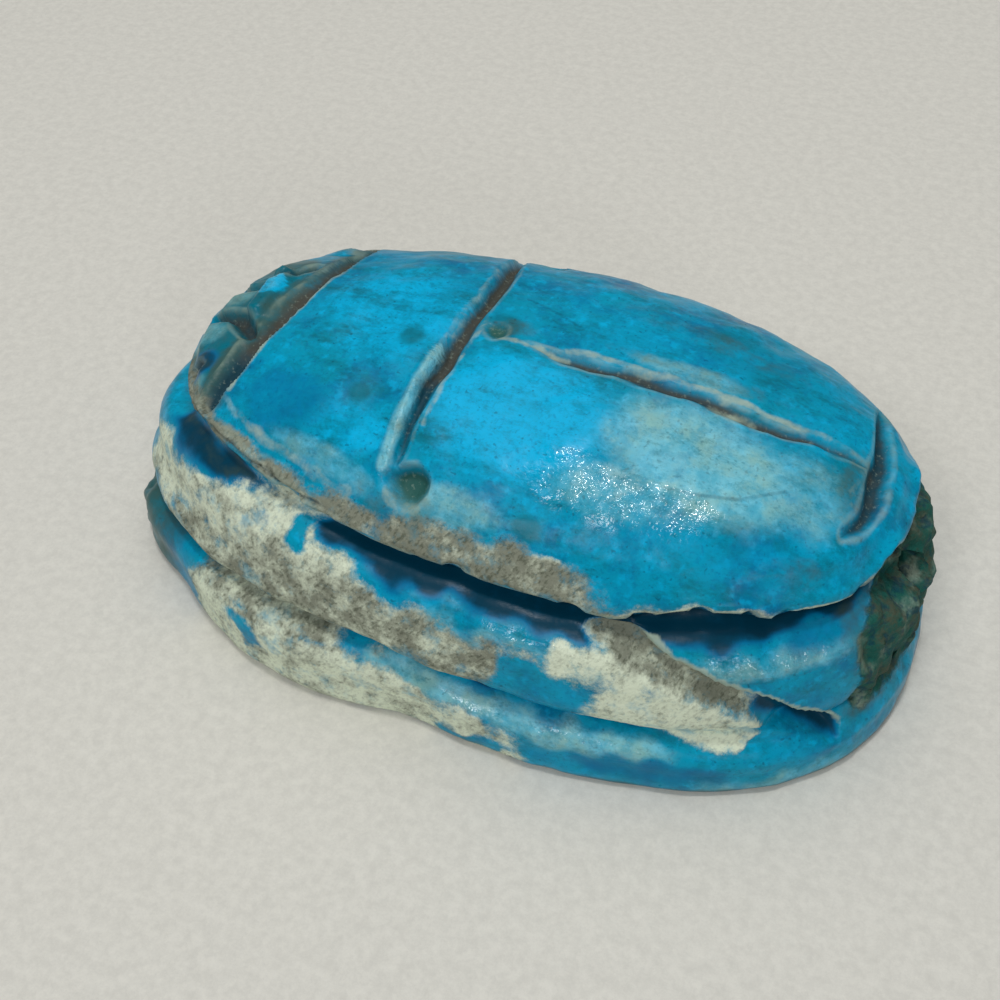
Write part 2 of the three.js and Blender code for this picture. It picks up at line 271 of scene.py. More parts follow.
def blank():
    """The carved blank before any stroke: a skirt of rows round the flank and a cap over the back.

    The cap is a square grid bent to a disc: a point on the square's ring of half side r lies on the disc's
    circle of radius r, at an angle that is even along the ring. Its edge is the skirt's top row.
    """
    side = np.linspace(-1, 1, CAP_CELLS + 1)
    p, q = np.meshgrid(side, side, indexing="ij")
    ring = np.maximum(np.abs(p), np.abs(q))
    safe = np.where(ring > 0, ring, 1)
    along_x = np.abs(p) >= np.abs(q)
    sector = np.where(along_x, np.where(p > 0, 0, np.pi), np.where(q > 0, np.pi / 2, -np.pi / 2))
    share = np.where(along_x, q * np.sign(p), -p * np.sign(q)) / safe
    angle = sector + share * np.pi / 4
    reach = CAP_SHARE * (CAP_EVEN * ring + (1 - CAP_EVEN) * np.sin(ring * np.pi / 2))
    a, b, middle = oval(DOME_SETBACK)
    x = middle + a * reach * oval_reach(angle) * np.cos(angle)
    y = b * reach * oval_reach(angle) * np.sin(angle)
    cap = np.stack([x, y, dome_height(x, y)], axis=-1).reshape(-1, 3)

    last = CAP_CELLS
    number = np.arange((last + 1) ** 2).reshape(last + 1, last + 1)
    sides = [number[last, :last], number[last:0:-1, last], number[0, last:0:-1], number[:last, 0]]
    rim = np.concatenate(sides)
    rim_angle = angle.reshape(-1)[rim]
    rows = profile_rows(rim_angle)
    rows[-1] = cap[rim]
    points, tiers, length = through_rows(rows)
    count = len(points) - 1
    skirt = points[:count].reshape(-1, 3)

    first = len(cap)
    ladder = np.concatenate([first + np.arange(count * COLUMNS).reshape(count, COLUMNS), rim[None]])
    after = np.roll(ladder, -1, axis=1)
    skirt_faces = np.stack([ladder[:-1], after[:-1], after[1:], ladder[1:]], axis=-1).reshape(-1, 4)
    corners = [number[:-1, :-1], number[1:, :-1], number[1:, 1:], number[:-1, 1:]]
    cap_faces = np.stack(corners, axis=-1).reshape(-1, 4)
    centre = first + len(skirt)
    vertices = np.concatenate([cap, skirt, [[0, 0, 0]]])
    fan = np.stack([np.full(COLUMNS, centre), after[0], ladder[0]], axis=-1)

    inside = (1 - ring.reshape(-1)) * CAP_TIERS
    tier = np.concatenate([BACK_TIER + inside, np.repeat(tiers[:count], COLUMNS), [0]])
    degrees = np.degrees(np.arctan2(vertices[:, 1] / HALF_WIDTH, vertices[:, 0] / HALF_LENGTH))
    degrees[first:centre] = np.degrees(np.tile(rim_angle, count))
    edge = edge_distance(rim_angle, tiers, length)
    cap_edge = np.full(len(cap), FAR_AWAY)
    cap_edge[rim] = np.minimum(edge[-1], FAR_AWAY)
    edges = np.concatenate([cap_edge, edge[:count].reshape(-1), [FAR_AWAY]])
    return vertices, cap_faces, skirt_faces, fan, {"tier": tier, "degrees": degrees, "edge": edges}


def edge_distance(angle, tiers, length):
    """Length along a column to the nearest carved edge.

    The legs' lower edge dies out behind the middle leg, and the rim's lower edge towards the head.
    """
    degrees = np.degrees(np.arccos(np.cos(angle)))
    lip, foot = (
        np.abs(length - length[np.argmin(np.abs(tiers - TIER[name]))]) for name in ("leg_lip", "rim_foot")
    )
    lip += FAR_AWAY * smooth(degrees, 118, 124)
    foot += FAR_AWAY * smooth(-degrees, -60, -30)
    return np.minimum(lip, foot)


def normals(vertices, quads, fan):
    """Unit normals: the sum of the crossed diagonals of the faces round each vertex."""
    total = np.zeros_like(vertices)
    first, second, third, fourth = (vertices[quads[:, corner]] for corner in range(4))
    cross = np.cross(third - first, fourth - second)
    for corner in range(4):
        for axis in range(3):
            total[:, axis] += np.bincount(quads[:, corner], cross[:, axis], len(vertices))
    total[fan[0, 0]] = (0, 0, -1)
    return total / np.linalg.norm(total, axis=1, keepdims=True)


# Strokes of the graver

BACK_STROKES = [
    # name, path on the back, width, depth, how blunt its ends are, and how much brown earth is left in it
    ("neck line", NECK, 1.9, 1.1, 12, 0.85),
    ("prothorax line",
     [(3.4, -11.0), (2.5, -3), (2.65, 0.2), (2.75, 2.7), (2.7, 4.9), (2.7, 6.5), (2.55, 8.6)],
     1.15, 0.75, 3.5, 0.85),
    ("wing suture",
     [(-0.6, 0.0), (-3, 0.1), (-5, 0.15), (-11, 0), (-14, -0.05), (-18.4, -0.4)], 1.0, 0.42, 2.4, 0.6),
    ("tail line",
     [(-17.7, -5.4), (-18.4, -2.9), (-18.8, 0), (-18.65, 2.3), (-18.3, 4.3)], 1.15, 0.6, 2.0, 0.35),
    ("near brow", [(14.0, 2.6), (14.9, 1.7), (15.8, 0.8), (17.4, 0.7), (19.2, 0.9)], 1.1, 0.8, 8, 0.6),
    ("far brow", [(13.6, -4.6), (14.6, -3.2), (15.4, -2.2), (17.2, -2.0), (19.0, -2.2)], 1.0, 0.75, 8, 0.5),
    ("near cheek notch", [(16.0, 4.3), (17.2, 4.5), (19.0, 5.0)], 0.9, 0.5, 4, 0.3),
    ("far cheek notch", [(15.0, -5.6), (17.0, -5.6), (19.0, -6.0)], 0.8, 0.3, 4, 0.2),
]
PITS = [
    # x, y, half sizes and depth
    (1.55, 8.8, 1.15, 0.8, 1.0),
    (1.5, -8.6, 1.1, 0.8, 0.6),
    (1.1, -0.5, 0.7, 0.6, 0.22),
]
# Strokes of the flank: degrees from the head and height
HIND_STROKE = [(109, 9.5), (112, 9.3), (117, 8.8), (125, 7.4), (134, 5.7), (142, 4.1), (150, 2.6)]
HIND_WIDTH, HIND_DEPTH = 1.7, 1.0
TROUGH_ROOF = 14.4  # the tier where the stroke of the hind leg ends
CHEEK_STROKE = [(26, 10.9), (36, 11.45), (45, 11.9), (54, 11.85), (62, 11.55), (72, 11.2)]
CHEEK_WIDTH, CHEEK_DEPTH = 0.5, 0.3
FLANK_BLUNTNESS = 6
WOBBLE, WOBBLE_LENGTH = 0.08, 2.6  # how far the hand strayed from a stroke, and over what length
PIT_EARTH = -0.5  # below nought, so that the floor of a pit shows green


def flank_length(degrees):
    """Millimetres round the legs' oval from the head to a place on the flank."""
    angle = np.radians(np.linspace(0, 180, 361))
    a, b, middle = oval(LIP_SETBACK)
    reach = oval_reach(angle)
    line = np.stack([middle + a * reach * np.cos(angle), b * reach * np.sin(angle)], axis=1)
    length = np.concatenate([[0], np.cumsum(np.linalg.norm(np.diff(line, axis=0), axis=1))])
    return np.interp(degrees, np.degrees(angle), length)


def along(points, path):
    """Distance of each point from a polyline, and the share of its length at the nearest place."""
    path = np.array(path, float)
    pieces = np.linalg.norm(np.diff(path, axis=0), axis=1)
    starts = np.concatenate([[0], np.cumsum(pieces)])
    best = np.full(len(points), np.inf)
    share = np.zeros(len(points))
    for start, end, piece, before in zip(path[:-1], path[1:], pieces, starts):
        t = np.clip((points - start) @ (end - start) / piece**2, 0, 1)
        distance = np.linalg.norm(points - start - t[:, None] * (end - start), axis=1)
        closer = distance < best
        best[closer] = distance[closer]
        share[closer] = (before + t[closer] * piece) / starts[-1]
    return best, share


def stroke_relief(points, path, width, depth, bluntness):
    """Depth of a stroke and distance to its edge.

    Its section is 1 - r^1.8, and its ends taper as the root of 1 - |2s - 1|^bluntness.
    """
    distance, share = along(points, path)
    swell = np.clip(1 - np.abs(2 * share - 1) ** bluntness, 0, 1) ** 0.5
    half = np.maximum(width / 2 * swell, 0.02)
    sunk = depth * swell * np.clip(1 - (distance / half) ** 1.8, 0, 1)
    return sunk, distance - half


def carve(vertices, where):
    """Depth of all strokes and pits, distance to the nearest edge of one, and the earth left in it."""
    tier = where["tier"]
    wobble = np.stack([waves(vertices, WOBBLE_LENGTH, seed) for seed in (1, 2, 3)], axis=1) * WOBBLE
    handmade = vertices + wobble
    plan = handmade[:, :2]
    on_back = smooth(tier, TIER["rim_low"], TIER["rim_middle"])
    cuts = []
    for _, path, width, depth, bluntness, earth in BACK_STROKES:
        sunk, edge = stroke_relief(plan, path, width, depth, bluntness)
        left = earth * (1 - smooth(plan[:, 1], 2.5, 5.0))
        cuts.append((sunk * on_back, edge + FAR_AWAY * (1 - on_back), left))
    for x, y, half_x, half_y, depth in PITS:
        reach = np.hypot((plan[:, 0] - x) / half_x, (plan[:, 1] - y) / half_y)
        sunk = depth * np.clip(1 - reach**4, 0, 1)
        edge = (reach - 1) * half_y
        cuts.append((sunk * on_back, edge + FAR_AWAY * (1 - on_back), 0 * reach + PIT_EARTH))
    unrolled = np.stack([flank_length(np.abs(where["degrees"])), vertices[:, 2]], axis=1) + wobble[:, :2]
    above_foot = smooth(tier, TIER["base_foot"], TIER["base_side"])
    for line, width, depth, roof in (
        (HIND_STROKE, HIND_WIDTH, HIND_DEPTH, TROUGH_ROOF),
        (CHEEK_STROKE, CHEEK_WIDTH, CHEEK_DEPTH, TIER["rim_top"]),
    ):
        path = [(flank_length(degrees), height) for degrees, height in line]
        sunk, edge = stroke_relief(unrolled, path, width, depth, FLANK_BLUNTNESS)
        shown = above_foot * (1 - smooth(tier, roof - 0.3, roof))
        cuts.append((sunk * shown, edge + FAR_AWAY * (1 - shown), 0 * sunk))
    sunk, edge, earth = (np.stack(values) for values in zip(*cuts))
    nearest = edge.argmin(axis=0)
    return sunk.max(axis=0), edge.min(axis=0), np.take_along_axis(earth, nearest[None], axis=0)[0]


BOSS_PATH, BOSS_RISE = [(14.7, 0.4), (14.8, -1.2), (15.0, -2.9)], 0.55
NECK_STEP = 0.15  # the head lies lower by this much right before the neck
FAR_WING_SWELL = 0.3  # the far wing case is fuller than the near one
# The broken hollow at the tail: middle, half sizes and depth
TAIL_HOLLOW, TAIL_HALF_SIZES, TAIL_DEPTH = (-21.2, 1.2, 9.4), (2.4, 3.4, 1.9), 1.3
# Relief as length, height and seed of its waves: the crust, the broken corner of the base, and every face
CRUST_RELIEF = [(2.0, 0.16, 11), (1.0, 0.05, 12)]
BROKEN_RELIEF = [(1.8, 0.16, 14), (0.9, 0.06, 15)]
HAND_RELIEF = [(6.0, 0.05, 21), (2.2, 0.018, 22), (0.8, 0.006, 23)]
CHIP_DEPTH, CHIP_WIDTH = 0.25, 0.3


def relief(vertices, layers):
    """The sum of several waves."""
    return sum(height * waves(vertices, length, seed) for length, height, seed in layers)


def hills(vertices, where):
    """What stands proud or lies low beside the strokes: boss, step before the neck, fuller far wing case,
    broken tail and its crust, broken corner of the base, chips at the edges and the hand's waves.
    """
    x, y, z = vertices.T
    tier = where["tier"]
    on_back = smooth(tier, TIER["rim_low"], TIER["rim_middle"])
    head = on_back * smooth(beyond_neck(x, y), 0.4, 1.4)
    boss, _ = along(vertices[:, :2], BOSS_PATH)
    rise = BOSS_RISE * head * (1 - smooth(boss, 0.3, 0.85))
    rise -= NECK_STEP * head * (1 - smooth(beyond_neck(x, y), 0.5, 2.2))
    rise += FAR_WING_SWELL * on_back * np.exp(-(((x + 5) / 7) ** 2) - ((y + 8) / 3.5) ** 2)
    hollow = np.linalg.norm((vertices - TAIL_HOLLOW) / TAIL_HALF_SIZES, axis=1)
    below_rim = 1 - smooth(tier, TIER["rim_foot"] - 0.6, TIER["rim_foot"])
    rise -= TAIL_DEPTH * np.clip(1 - hollow**2, 0, 1) * below_rim
    crust = crust_share(vertices, where)
    rise += crust * relief(vertices, CRUST_RELIEF)
    above_ground = smooth(tier, TIER["under_edge"], TIER["base_foot"])
    corner = (y > 0) * band(np.abs(where["degrees"]), 8, 30, 5)
    broken = above_ground * (1 - smooth(tier, TIER["base_lip"], TIER["ledge"])) * corner
    rise += broken * relief(vertices, BROKEN_RELIEF)
    rise += above_ground * relief(vertices, HAND_RELIEF)
    chips = np.exp(-((where["edge"] / CHIP_WIDTH) ** 2)) * np.clip(waves(vertices, 1.7, 31) - 0.35, 0, None)
    rise -= CHIP_DEPTH * chips * (1 - crust) * above_ground
    return rise


def crust_share(vertices, where):
    """How far the rough green-brown crust covers a point: the tail's wall under the wing cases."""
    x, y, z = vertices.T
    tail = smooth(-x, 19.3, 20.6) * (1 - smooth(np.abs(y - 0.5), 4.8, 6.6)) * smooth(z, 2.2, 4.2)
    return tail * (1 - smooth(where["tier"], TIER["rim_foot"] - 0.5, TIER["rim_foot"] + 0.2))


# Finish: what the glaze does where, with shade and highlights painted into its colour in places

# Fields of a flank between two lines of degrees from the head and tier: from and to, lower line, upper line
BARE_FIELDS = [
    # ..., how bare, how brown, and how far it fades into the glaze in tiers
    ("rim bevel", 44, 115, [(40, 17.1), (115, 17.2)],
     [(40, 19.4), (60, 19.4), (71, 19.1), (86, 19.7), (95, 20.0), (107, 20.1), (112, 18.6), (118, 17.4)],
     1.0, 0.85, 0.7),
    ("cheek", 12, 50, [(12, 15.6), (50, 15.4)],
     [(12, 18.6), (26, 18.8), (36, 19.2), (50, 19.4)], 0.9, 1.0, 0.7),
    ("scalloped rim", 112, 168, [(112, 16.7), (168, 16.7)], [(112, 18.0), (168, 17.7)], 0.85, 0.45, 0.45),
    ("foreleg", 26, 82, [(26, 9.5), (60, 11.4), (82, 12.4)],
     [(26, 12.0), (46, 12.7), (54, 14.8), (58, 16.4), (65, 16.4), (69, 14.6), (75, 13.3), (82, 12.6)],
     0.95, 0.25, 0.9),
    ("leg band", 38, 108, [(30, 8.7), (110, 8.7)],
     [(38, 10.5), (54, 11.3), (62, 12.1), (70, 12.8), (85, 12.5), (96, 12.2), (101, 11.9), (109, 11.4)],
     1.0, 0.65, 0.5),
    ("ledge", 52, 80, [(40, 4.3), (80, 4.6)], [(40, 8.6), (80, 8.4)], 0.95, 0.65, 0.6),
    ("side of the base", 48, 104, [(40, 0.6), (104, 0.6)],
     [(40, 4.6), (76, 5.0), (88, 4.2), (104, 3.6)], 1.0, 0.3, 0.6),
    ("middle leg", 104, 133,
     [(104, 11.2), (111, 8.9), (118, 7.8), (122, 6.9), (126, 6.0), (130, 5.6), (134, 8.0)],
     [(104, 13.0), (110, 13.6), (117, 13.9), (134, 13.0)], 1.0, 0.12, 0.5),
]
DEEP_FIELDS = [
    # ..., how deep its colour is, and how far it fades in tiers
    ("top of the foreleg", 30, 58, [(30, 12.5), (44, 12.9), (58, 14.1)],
     [(30, 15.2), (46, 15.6), (58, 15.5)], 1.0, 1.0),
    # Its deep colour is partly glaze pooled in the groove and partly painted shade under the overhang of the
    # wing cases
    ("groove under the wing cases", 66, 181,
     [(62, 14.7), (72, 14.0), (82, 13.2), (97, 13.3), (112, 13.3), (124, 13.5), (138, 14.0), (181, 14.1)],
     [(62, 16.9), (181, 16.9)], 1.0, 0.5),
    # Its deep colour is partly glaze pooled in the groove and partly painted shade between legs and base
    ("groove over the base", 78, 121, [(78, 6.1), (125, 6.2)], [(78, 9.0), (125, 8.8)], 1.0, 0.4),
    ("patch of the base", 112, 131, [(112, 2.4), (131, 2.4)], [(112, 3.9), (131, 4.0)], 0.55, 0.5),
    ("second patch of the base", 103, 110, [(103, 2.6), (110, 2.6)], [(103, 3.7), (110, 3.8)], 0.45, 0.5),
    ("hind leg", 137, 152, [(137, 9.2), (152, 9.2)], [(137, 11.0), (152, 11.2)], 0.35, 0.6),
    ("back of the hind leg", 138, 162, [(138, 12.9), (162, 13.0)], [(138, 14.3), (162, 14.3)], 0.5, 0.6),
    ("stain at the foot of the leg", 99, 112, [(99, 8.8), (112, 8.8)], [(99, 10.6), (112, 12.0)], 0.3, 0.6),
    ("cheek of the base", 38, 52, [(38, 1), (52, 1)], [(38, 8.4), (52, 5.5)], 0.35, 0.8),
]
# Glaze that is left in a bare field: degrees, tier and half sizes
GLAZED_SPOTS = [
    ("on the foreleg", 66, 13.5, 3.2, 1.0),
    ("foot of the leg band", 105, 10.2, 6, 1.5),
    ("middle of the leg band", 88, 9.3, 3, 0.5),
    ("on the base", 65, 3.5, 3.5, 0.6),
    ("lower on the base", 96, 2.2, 7, 0.7),
]
FAR_SHIFT = 1.0  # tiers by which all fields lie lower on the far flank
# Patches of the back: x, y, half sizes, turn in degrees and amount. These are of thin pale glaze; on the boss
# of the head they also paint a highlight, and on the shoulder of the wing case a sheen
PALE_PATCHES = [
    # Painted highlight on the boss of the head
    ("boss of the head", 14.8, -1.5, 0.7, 1.1, 0, 0.35),
    ("wing case", -11.0, 3.4, 5.6, 3.4, -6, 1.0),
    # Partly worn thin glaze, partly a painted sheen where the light reflects
    ("shoulder of the wing case", -7.9, 6.4, 3.8, 1.7, 8, 0.6),
    ("end of the wing case", -15.6, 3.0, 3.0, 2.6, 0, 0.6),
    ("beside the suture", -8.8, -1.4, 3.4, 0.8, 0, 0.75),
    ("by the shoulder pit", -0.2, 9.1, 3.6, 0.9, 0, 0.75),
    ("corner of the prothorax", 6.2, 8.6, 4.0, 0.7, -14, 0.6),
    ("light plate of the head", 17.0, 2.3, 1.5, 1.1, 0, 0.8),
    ("side of the head", 16.2, 5.4, 1.3, 1.0, 0, 0.6),
    ("front of the head", 16.9, -1.2, 1.2, 1.4, 0, 0.7),
]
# Thicker, darker glaze
DEEP_PATCHES = [
    ("prothorax", 9.6, 6.3, 3.2, 2.0, -10, 0.5),
    ("near wing case", -14.5, 6.6, 3.6, 1.6, 16, 0.3),
    ("plate of the head", 16.0, 4.3, 1.2, 0.9, 0, 0.9),
    ("far edge of the wing case", -13.0, -5.6, 6.0, 2.0, -8, 0.2),
    ("far edge of the prothorax", 8.5, -6.0, 4.0, 2.0, 8, 0.3),
]
# Greener glaze
GREEN_PATCHES = [
    ("prothorax", 5.9, 5.2, 0.8, 0.7, 0, 0.8),
    ("middle of the prothorax", 4.9, 1.3, 0.9, 0.9, 0, 0.75),
    ("shoulder", -4.6, 9.0, 1.0, 0.6, 0, 0.8),
    ("beside the middle pit", 0.9, -0.9, 1.4, 1.2, 0, 0.9),
    ("end of the wing case", -17.4, 1.0, 1.6, 2.6, 0, 0.6),
    ("far wing case", -11.0, -4.2, 4.0, 2.2, -8, 0.5),
    ("low on the wing case", -13.6, 6.6, 1.0, 0.7, 0, 0.5),
    ("head", 15.6, 1.0, 3.4, 8.0, 0, 1.1),
    ("far edge of the prothorax", 8.0, -8.0, 5.0, 1.6, 6, 0.6),
]
# Brown-green film of soil on the glaze
SOIL_PATCHES = [
    ("head", 16.4, 0.5, 3.6, 7.5, 0, 0.42),
    ("near corner of the head", 14.4, 6.5, 1.5, 1.0, 0, 1.0),
    ("near plate of the head", 17.6, 4.0, 2.4, 1.2, 20, 0.7),
    ("far plate of the head", 15.6, -4.4, 2.4, 1.4, 0, 1.0),
    ("front of the head", 18.6, -1.5, 1.0, 4.5, 0, 0.7),
    ("round the shoulder pit", 1.5, 9.7, 2.4, 0.9, 0, 0.7),
    ("start of the suture", 0.3, -1.0, 1.6, 0.8, 0, 0.7),
    ("far side of the suture", -9.5, -1.6, 6.0, 0.7, 0, 0.5),
    ("far wing case", -8.0, -4.6, 6.5, 1.0, -6, 0.5),
    ("end of the wing cases", -17.9, 1.2, 1.0, 2.8, 0, 0.6),
    ("near end of the wing case", -16.6, 6.4, 2.0, 0.8, 20, 0.4),
]
# Clear bright glaze
BRIGHT_PATCHES = [
    ("wing case", -2.2, 4.0, 5.5, 4.2, 0, 1.0),
    ("boss of the head", 14.8, -1.4, 0.9, 1.3, 0, 1.6),
    ("prothorax", 6.5, -0.5, 4.5, 4.5, 0, 0.8),
    ("near part of the prothorax", 5.5, 7.0, 3.0, 1.6, 0, 0.7),
    ("far wing case", -3.0, -5.0, 3.5, 2.5, 0, 0.4),
]
# Where the glaze boiled into fine pits that sparkle
SPARKLE_PATCHES = [
    ("shoulder of the wing case", -8.4, 6.5, 5.0, 1.5, 6, 1.0),
    ("upper shoulder", -6.0, 5.8, 2.0, 1.0, 0, 0.8),
    ("by the prothorax line", 3.3, 7.0, 0.4, 2.4, 0, 0.9),
]
PATCHES = {
    "pale": PALE_PATCHES, "green": GREEN_PATCHES, "soil_and_shade": SOIL_PATCHES, "deep": DEEP_PATCHES,
    "sparkle": SPARKLE_PATCHES,
}
# Bands of a flank that raise a share: amount, then lower end, upper end and fade in tiers and in degrees
FLANK_BANDS = [
    ("head corner of the base", "green", 1.0, (0.0, 8.0, 0.6), (6, 44, 6)),
    ("head corner of the base", "soil_and_shade", 0.9, (0.0, 8.0, 0.6), (6, 44, 6)),
    ("shade under the cheek", "soil_and_shade", 0.45, (13.6, 16.9, 0.4), (12, 62, 5)),
    ("tail side of the hind leg", "soil_and_shade", 0.75, (5.0, 15.0, 0.8), (150, 166, 4)),
    # The pale bands on the tops of the middle and hind legs and on the ledge paint their highlights
    ("top of the middle leg", "pale", 0.6, (11.8, 12.8, 0.4), (87, 113, 3)),
    ("top of the hind leg", "pale", 0.7, (12.2, 13.3, 0.4), (126, 152, 4)),
    ("ledge", "pale", 0.95, (3.9, 5.6, 0.4), (82, 124, 3)),
    ("side of the base", "pale", 0.7, (1.0, 3.0, 0.5), (128, 150, 5)),
    ("top of the middle leg", "sparkle", 1.0, (11.8, 12.8, 0.4), (93, 109, 3)),
    ("top of the hind leg", "sparkle", 1.0, (12.2, 13.3, 0.4), (127, 150, 3)),
]
# The lit edge of the prothorax line: its pale colour is a painted highlight, and there thin glaze glitters
LIT_EDGE = [(3.2, 1.5), (3.35, 3.5), (3.3, 5.5), (3.15, 8.3)]
# Edges on the back that are rubbed to beige: path, width and amount
WORN_LINES = [
    ("head side of the prothorax line", [(3.3, -6.0), (3.15, -3.0), (3.2, 1.0)], 0.3, 0.5),
    ("wing side of the prothorax line", [(1.9, -1.0), (2.0, 3.0), (1.95, 6.0)], 0.28, 0.55),
    ("edge at the neck", [(11.3, -3.2), (11.8, -0.9), (12.1, 1.4), (12.6, 3.6), (13.1, 6.0)], 0.3, 0.7),
    ("near edge of the prothorax", [(13.3, 6.5), (10.4, 8.0), (7.2, 9.0), (4.6, 9.6)], 0.35, 0.5),
    ("start of the suture", [(0.6, -0.1), (-0.9, 0.0), (-3.0, 0.1)], 0.3, 0.6),
    ("far edge of the suture", [(-3.0, -0.45), (-9.0, -0.6), (-16.0, -0.7)], 0.35, 0.6),
    ("grit in the suture", [(-10.4, 0.3), (-12.4, 0.3)], 0.5, 0.6),
    ("near edge of the tail line", [(-18.0, 0.2), (-17.9, 2.3), (-17.8, 3.6)], 0.3, 0.35),
    ("rim of the shoulder pit", [(2.7, 9.2), (1.9, 9.75), (0.7, 9.5)], 0.25, 0.5),
]
CRACKS = [
    [(-9.9, 5.5), (-11.6, 5.2), (-13.3, 4.7), (-15.1, 3.3)],
    [(0.6, -3.6), (-1.2, -3.0), (-2.8, -2.4)],
]


def band(value, low, high, soft):
    """1 between low and high, fading over soft at either end."""
    return smooth(value, low - soft, low + soft) * (1 - smooth(value, high - soft, high + soft))


def field(degrees, tier, start, end, lower, upper, soft=0.45):
    """1 between the two lines of a field, and 0 outside them."""
    floor, roof = (np.interp(degrees, *np.array(line, float).T) for line in (lower, upper))
    return band(degrees, start, end, 3.5) * band(tier, floor, roof, soft)


def patch(x, y, at_x, at_y, half_x, half_y, turn):
    """1 in the middle of a turned ellipse and 0 outside it."""
    cos, sin = math.cos(math.radians(turn)), math.sin(math.radians(turn))
    u, v = (x - at_x) * cos + (y - at_y) * sin, (y - at_y) * cos - (x - at_x) * sin
    return 1 - smooth(np.hypot(u / half_x, v / half_y), 0.5, 1.2)


def finish_of(vertices, sunk, cut, earth, where):
    """Every share that the materials read, worked out for each point."""
    x, y, z = vertices.T
    degrees, tier = np.abs(where["degrees"]), where["tier"]
    loose = degrees + 1.8 * waves(vertices, 3.5, 41)
    level = tier + 0.22 * waves(vertices, 2.6, 42) + FAR_SHIFT * smooth(-y, 0, 6)
    bare, brown, total, deep = (np.zeros(len(x)) for _ in range(4))
    for _, start, end, lower, upper, amount, tint, soft in BARE_FIELDS:
        share = amount * field(loose, level, start, end, lower, upper, soft)
        brown += tint * share
        total += share
        bare = np.maximum(bare, share)
    brown /= np.maximum(total, 0.2)
    for _, place, middle, half, tall in GLAZED_SPOTS:
        bare *= smooth(np.hypot((loose - place) / half, (level - middle) / tall), 0.5, 1.2)
    for _, start, end, lower, upper, amount, soft in DEEP_FIELDS:
        share = field(loose, level, start, end, lower, upper, soft)
        bare *= 1 - share
        deep = np.maximum(deep, amount * share)

    flank = tier < TIER["rim_foot"]
    in_stroke = smooth(-cut, -0.15, 0.25) * flank * smooth(degrees, 100, 106)
    in_stroke *= 1 - smooth(tier, TROUGH_ROOF - 0.5, TROUGH_ROOF)
    over_stroke = z - np.interp(degrees, *np.array(HIND_STROKE, float).T)
    above = smooth(over_stroke, 0.0, 0.6) * band(degrees, 112, 156, 2)
    bare *= 1 - above * flank * (1 - in_stroke)
    at_pit = smooth(degrees, 131, 136)
    floor = in_stroke * (1 - at_pit)
    brown = np.maximum(brown, 0.85 * floor)
    bare = np.maximum(bare * (1 - in_stroke * at_pit), floor)
    # In the pit at the end of the hind leg's stroke the deep colour is pooled glaze, and painted shade in its
    # upper part
    deep = np.maximum(deep * (1 - floor), in_stroke * at_pit * smooth(over_stroke, -1.0, -0.2))

    on_back = smooth(tier, TIER["rim_low"], TIER["rim_middle"])
    raised = {name: np.zeros(len(x)) for name in PATCHES} | {"deep": deep}
    for name, patches in PATCHES.items():
        for _, *place, amount in patches:
            raised[name] = np.maximum(raised[name], amount * on_back * patch(x, y, *place))
    for _, name, amount, tiers, places in FLANK_BANDS:
        share = amount * band(level, *tiers) * band(degrees, *places)
        raised[name] = np.maximum(raised[name], share)
    pale, green, soil_and_shade, deep, sparkle = raised.values()
    # Darker towards the ground: a brown-black line at the foot of the base and painted contact shadow
    soil_and_shade = np.maximum(soil_and_shade, 0.9 * (1 - smooth(z, 0.2, 0.7)))
    sparkle = np.maximum(sparkle, 0.8 * band(tier, 3.9, 5.0, 0.3) * band(degrees, 92, 122, 3))
    lit, _ = along(vertices[:, :2], LIT_EDGE)
    lit = on_back * (1 - smooth(lit, 0.15, 0.5))
    # Pale colour along the lit edge paints its highlight
    pale, sparkle = np.maximum(pale, lit), np.maximum(sparkle, lit)
    worn = np.zeros(len(x))
    for _, path, width, amount in WORN_LINES:
        distance, _ = along(vertices[:, :2] + 0.06 * waves(vertices, 1.5, 51)[:, None], path)
        worn = np.maximum(worn, amount * on_back * (1 - smooth(distance, 0.2 * width, 1.5 * width)))
    flank_edge = flank * (1 - smooth(np.abs(cut), 0.1, 0.4)) * band(degrees, 112, 150, 2)
    worn = np.maximum(worn, 0.85 * flank_edge * smooth(over_stroke, 0, 0.3))
    crack = np.min([along(vertices[:, :2], path)[0] for path in CRACKS], axis=0)
    spots = [amount * patch(x, y, *place) for _, *place, amount in BRIGHT_PATCHES]
    bright = on_back * np.max(spots, axis=0)
    clear = smooth(bright, 1.0, 1.4)
    green, soil_and_shade = green * (1 - clear), soil_and_shade * (1 - clear)
    soil_and_shade = np.maximum(soil_and_shade, 1.1 * on_back * band(beyond_neck(x, y), 0.2, 1.5, 0.4) * (1 - clear))
    cheek_start, cheek_end = CHEEK_STROKE[0][0], CHEEK_STROKE[-1][0]
    in_cheek = band(degrees, cheek_start, cheek_end, 2) * (tier > TIER["rim_foot"])
    return {
        "bare": bare, "brown": brown, "pale": pale, "deep": deep, "green": green, "sparkle": sparkle,
        "worn": worn, "crack": np.clip(crack, 0, FAR_AWAY), "earth": earth, "bright": bright,
        # Where the strokes on the back and the cheek take the floor colour: earth and pooled glaze, and
        # painted shade in the recess
        "soil_and_shade": soil_and_shade, "dirt": np.maximum(on_back, in_cheek), "crust": crust_share(vertices, where),
        "cut": np.clip(cut, -1, FAR_AWAY), "edge": where["edge"],
    }


